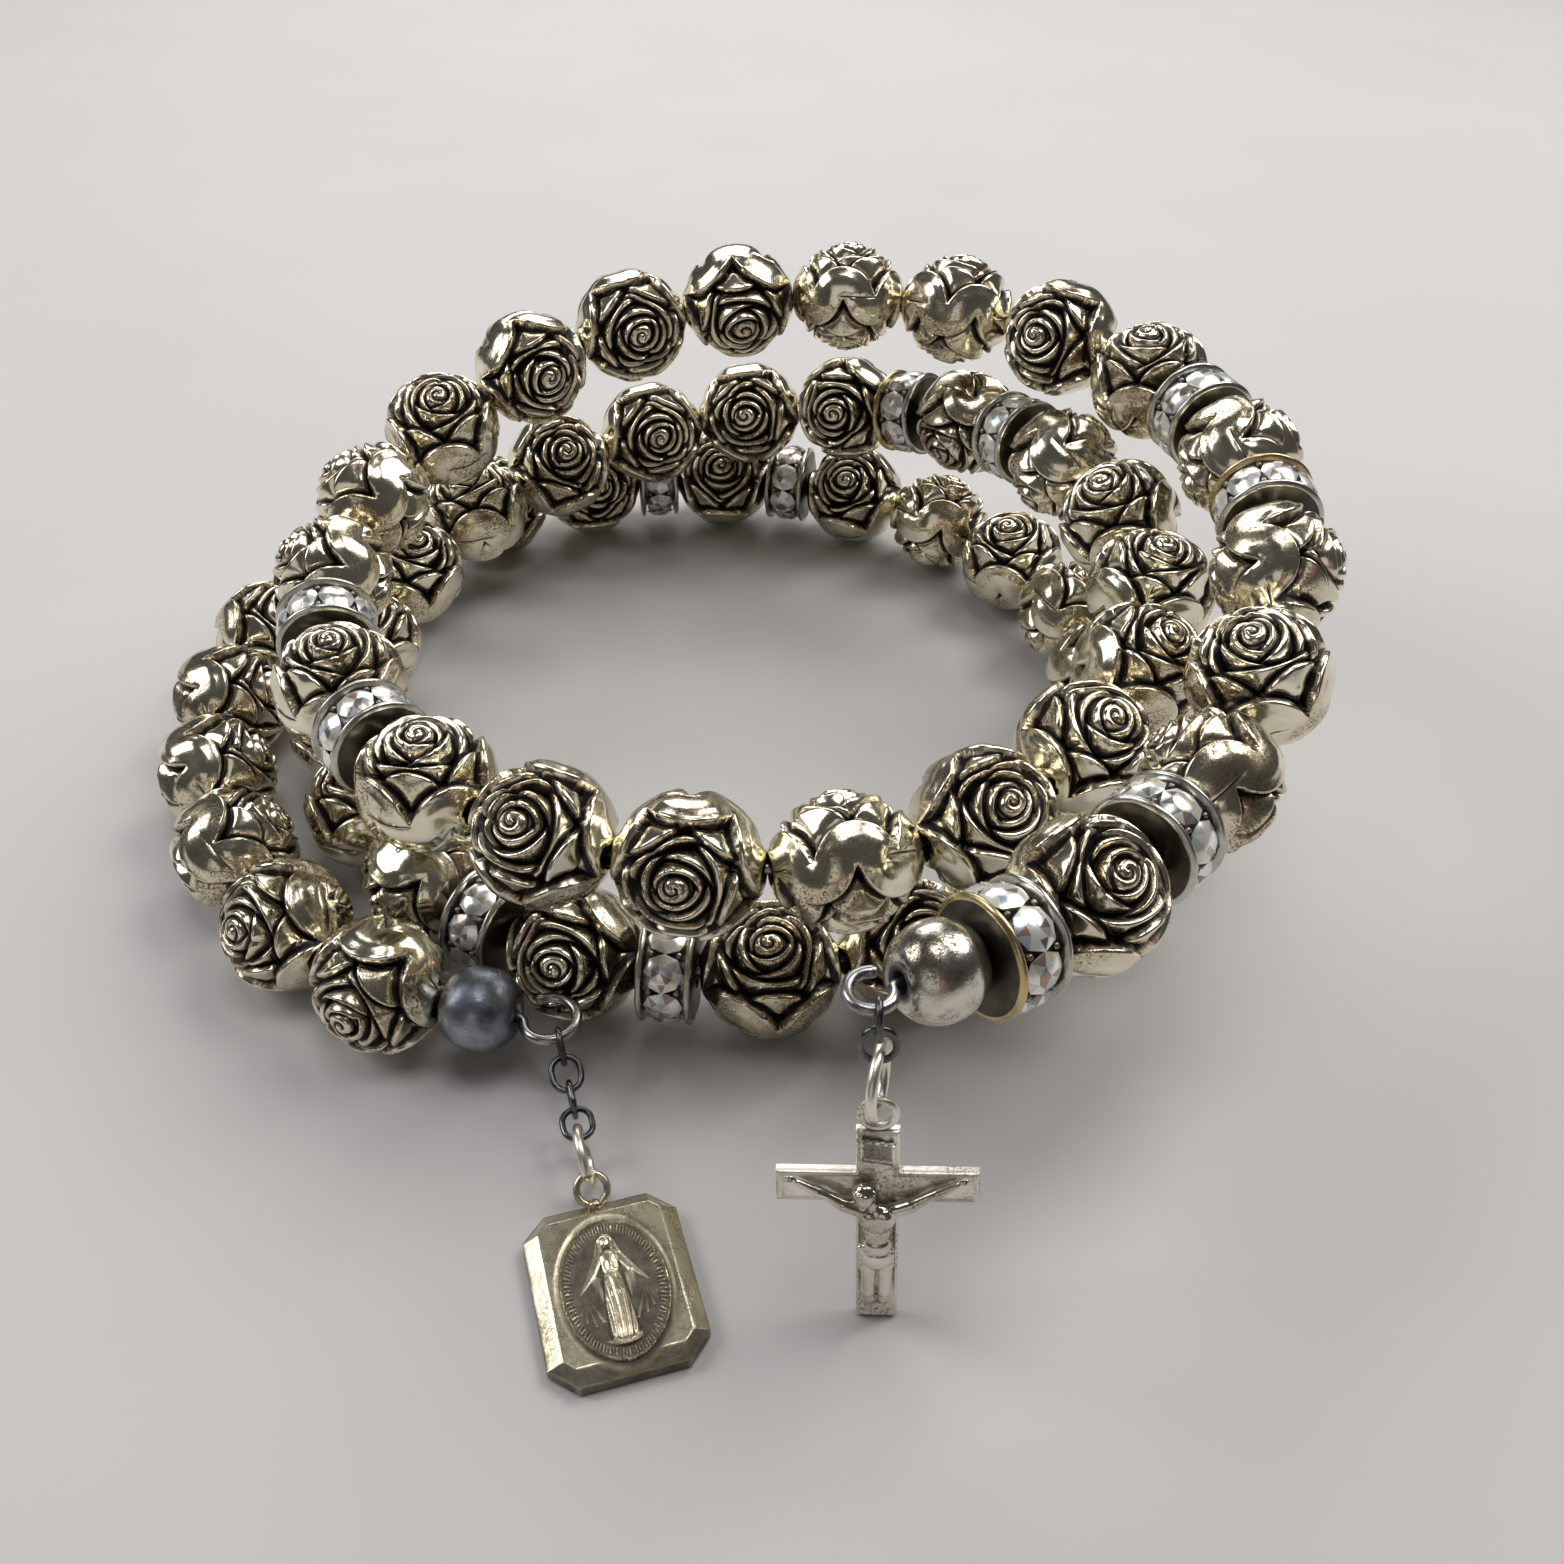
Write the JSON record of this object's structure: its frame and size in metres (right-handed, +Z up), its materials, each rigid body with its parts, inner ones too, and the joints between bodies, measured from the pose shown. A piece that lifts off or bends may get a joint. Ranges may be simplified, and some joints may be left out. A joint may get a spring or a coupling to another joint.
{
  "type": "rosary bracelet",
  "caption": "Coiled spring-wire rosary bracelet of rose beads and stone-set spacers, lying, with a cut-corner medal and a crucifix on short chains.",
  "frame": {"origin": "on the ground under the middle of the whole lying bracelet", "axes": "+Z up, along the axis of the coil; -Y to the side where the medal and the crucifix lie; +X to the right seen from there"},
  "size_m": [0.0749, 0.0856, 0.0276],
  "materials": {
    "rose_metal": "antiqued champagne-silver plating with black in the grooves",
    "spacer_metal": "bright silver rims set with clear faceted stones",
    "wire_steel": "spring steel",
    "dark_bead": "dark blue-grey polished plating",
    "bright_bead": "polished silver plating",
    "dark_link": "gunmetal",
    "silver_ring": "polished silver",
    "medal_metal": "antiqued pewter-silver, worn satin",
    "cross_metal": "bright cast silver"
  },
  "bodies": {
    "root": {"memory_wire": "wire_steel", "end_bead_medal": "dark_bead", "end_bead_cross": "bright_bead", "decade_5": "rose_metal", "decade_4": "rose_metal", "decade_3": "rose_metal", "bead_5": "rose_metal", "bead_4": "rose_metal", "bead_3": "rose_metal", "bead_2": "rose_metal", "bead_1": "rose_metal", "bead_0": "rose_metal", "rose_26": "rose_metal", "rose_25": "rose_metal", "rose_24": "rose_metal", "rose_23": "rose_metal", "rose_22": "rose_metal", "rose_21": "rose_metal", "rose_20": "rose_metal", "rose_19": "rose_metal", "rose_18": "rose_metal", "rose_17": "rose_metal", "rose_15": "rose_metal", "rose_14": "rose_metal", "rose_13": "rose_metal", "rose_12": "rose_metal", "rose_11": "rose_metal", "rose_10": "rose_metal", "rose_09": "rose_metal", "rose_08": "rose_metal", "rose_07": "rose_metal", "rose_06": "rose_metal", "rose_04": "rose_metal", "rose_03": "rose_metal", "rose_02": "rose_metal", "spacer_12": "spacer_metal", "spacer_11": "spacer_metal", "spacer_10": "spacer_metal", "spacer_09": "spacer_metal", "spacer_08": "spacer_metal", "spacer_07": "spacer_metal", "spacer_06": "spacer_metal", "spacer_05": "spacer_metal", "spacer_04": "spacer_metal", "spacer_03": "spacer_metal", "spacer_02": "spacer_metal", "spacer_01": "spacer_metal", "medal_link_1": "dark_link", "medal_link_2": "dark_link", "medal_link_3": "dark_link", "medal_link_4": "dark_link", "medal_ring": "silver_ring", "medal": "medal_metal", "cross_link_1": "dark_link", "cross_link_2": "dark_link", "cross_ring": "silver_ring", "crucifix": "cross_metal"}
  },
  "joints": []
}
